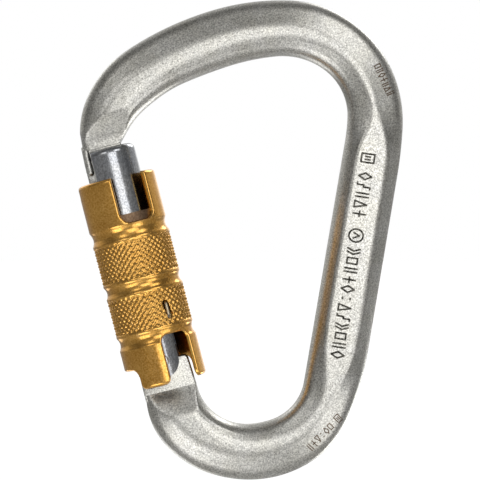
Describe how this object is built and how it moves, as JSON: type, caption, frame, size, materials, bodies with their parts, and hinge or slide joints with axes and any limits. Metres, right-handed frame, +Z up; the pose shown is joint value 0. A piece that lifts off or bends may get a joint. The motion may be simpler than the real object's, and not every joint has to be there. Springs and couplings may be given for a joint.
{
  "type": "locking carabiner",
  "caption": "Pear-shaped steel locking carabiner: forged frame, inward-opening sprung gate, knurled twist sleeve that lifts and turns to unlock.",
  "frame": {"origin": "bearing point of the wide basket: the highest point of the frame's inner edge, where the rope or anchor rides, half way through the bar's thickness", "axes": "+Z up along the load line, +X from the gate side to the spine, +Y from the front to the back; the front shows the gate on the left"},
  "size_m": [0.081, 0.0196, 0.1198],
  "materials": {
    "zinc_steel": "satin zinc plating over forged steel",
    "polished_steel": "polished plated steel",
    "rivet_steel": "bright steel",
    "inner_steel": "turned steel",
    "spring_steel": "spring wire",
    "gold_anodised": "gold anodised, satin",
    "bush_bronze": "dull bronze"
  },
  "bodies": {
    "frame_body": {"frame": "zinc_steel"},
    "gate_body": {"gate": "polished_steel", "hinge_rivet": "rivet_steel", "gate_spring": "spring_steel", "retaining_ring": "spring_steel", "stop_pin": "inner_steel"},
    "plunger_body": {"gate_plunger": "inner_steel"},
    "guide_body": {"guide_bush": "bush_bronze"},
    "sleeve_body": {"sleeve": "gold_anodised", "upper_bush": "bush_bronze", "sleeve_spring": "spring_steel"}
  },
  "joints": [
    {"name": "gate_swing", "type": "hinge", "parent": "frame_body", "child": "gate_body", "pos_m": [-0.02834, 0, -0.07597], "axis": [0, 1, 0], "range_deg": [0, 36], "stiffness_Nm_per_rad": 0.25, "springref_deg": -34.38},
    {"name": "plunger_slide", "type": "slide", "parent": "gate_body", "child": "plunger_body", "axis": [-0.2504, 0, 0.9681], "range_m": [0, 0.001], "deforming": ["gate_spring"]},
    {"name": "sleeve_lift", "type": "slide", "parent": "gate_body", "child": "guide_body", "axis": [-0.2504, 0, 0.9681], "range_m": [0, 0.005], "deforming": ["sleeve_spring"]},
    {"name": "sleeve_twist", "type": "hinge", "parent": "guide_body", "child": "sleeve_body", "pos_m": [-0.02834, 0, -0.07597], "axis": [-0.2504, 0, 0.9681], "range_deg": [0, 62]}
  ],
  "couplings": [
    {"joint": "plunger_slide", "follows": "gate_swing", "m_per_rad": 0.00159},
    {"joint": "sleeve_lift", "follows": "gate_swing", "m_per_rad": 0.00795},
    {"joint": "sleeve_twist", "follows": "gate_swing", "ratio": 1.722}
  ]
}
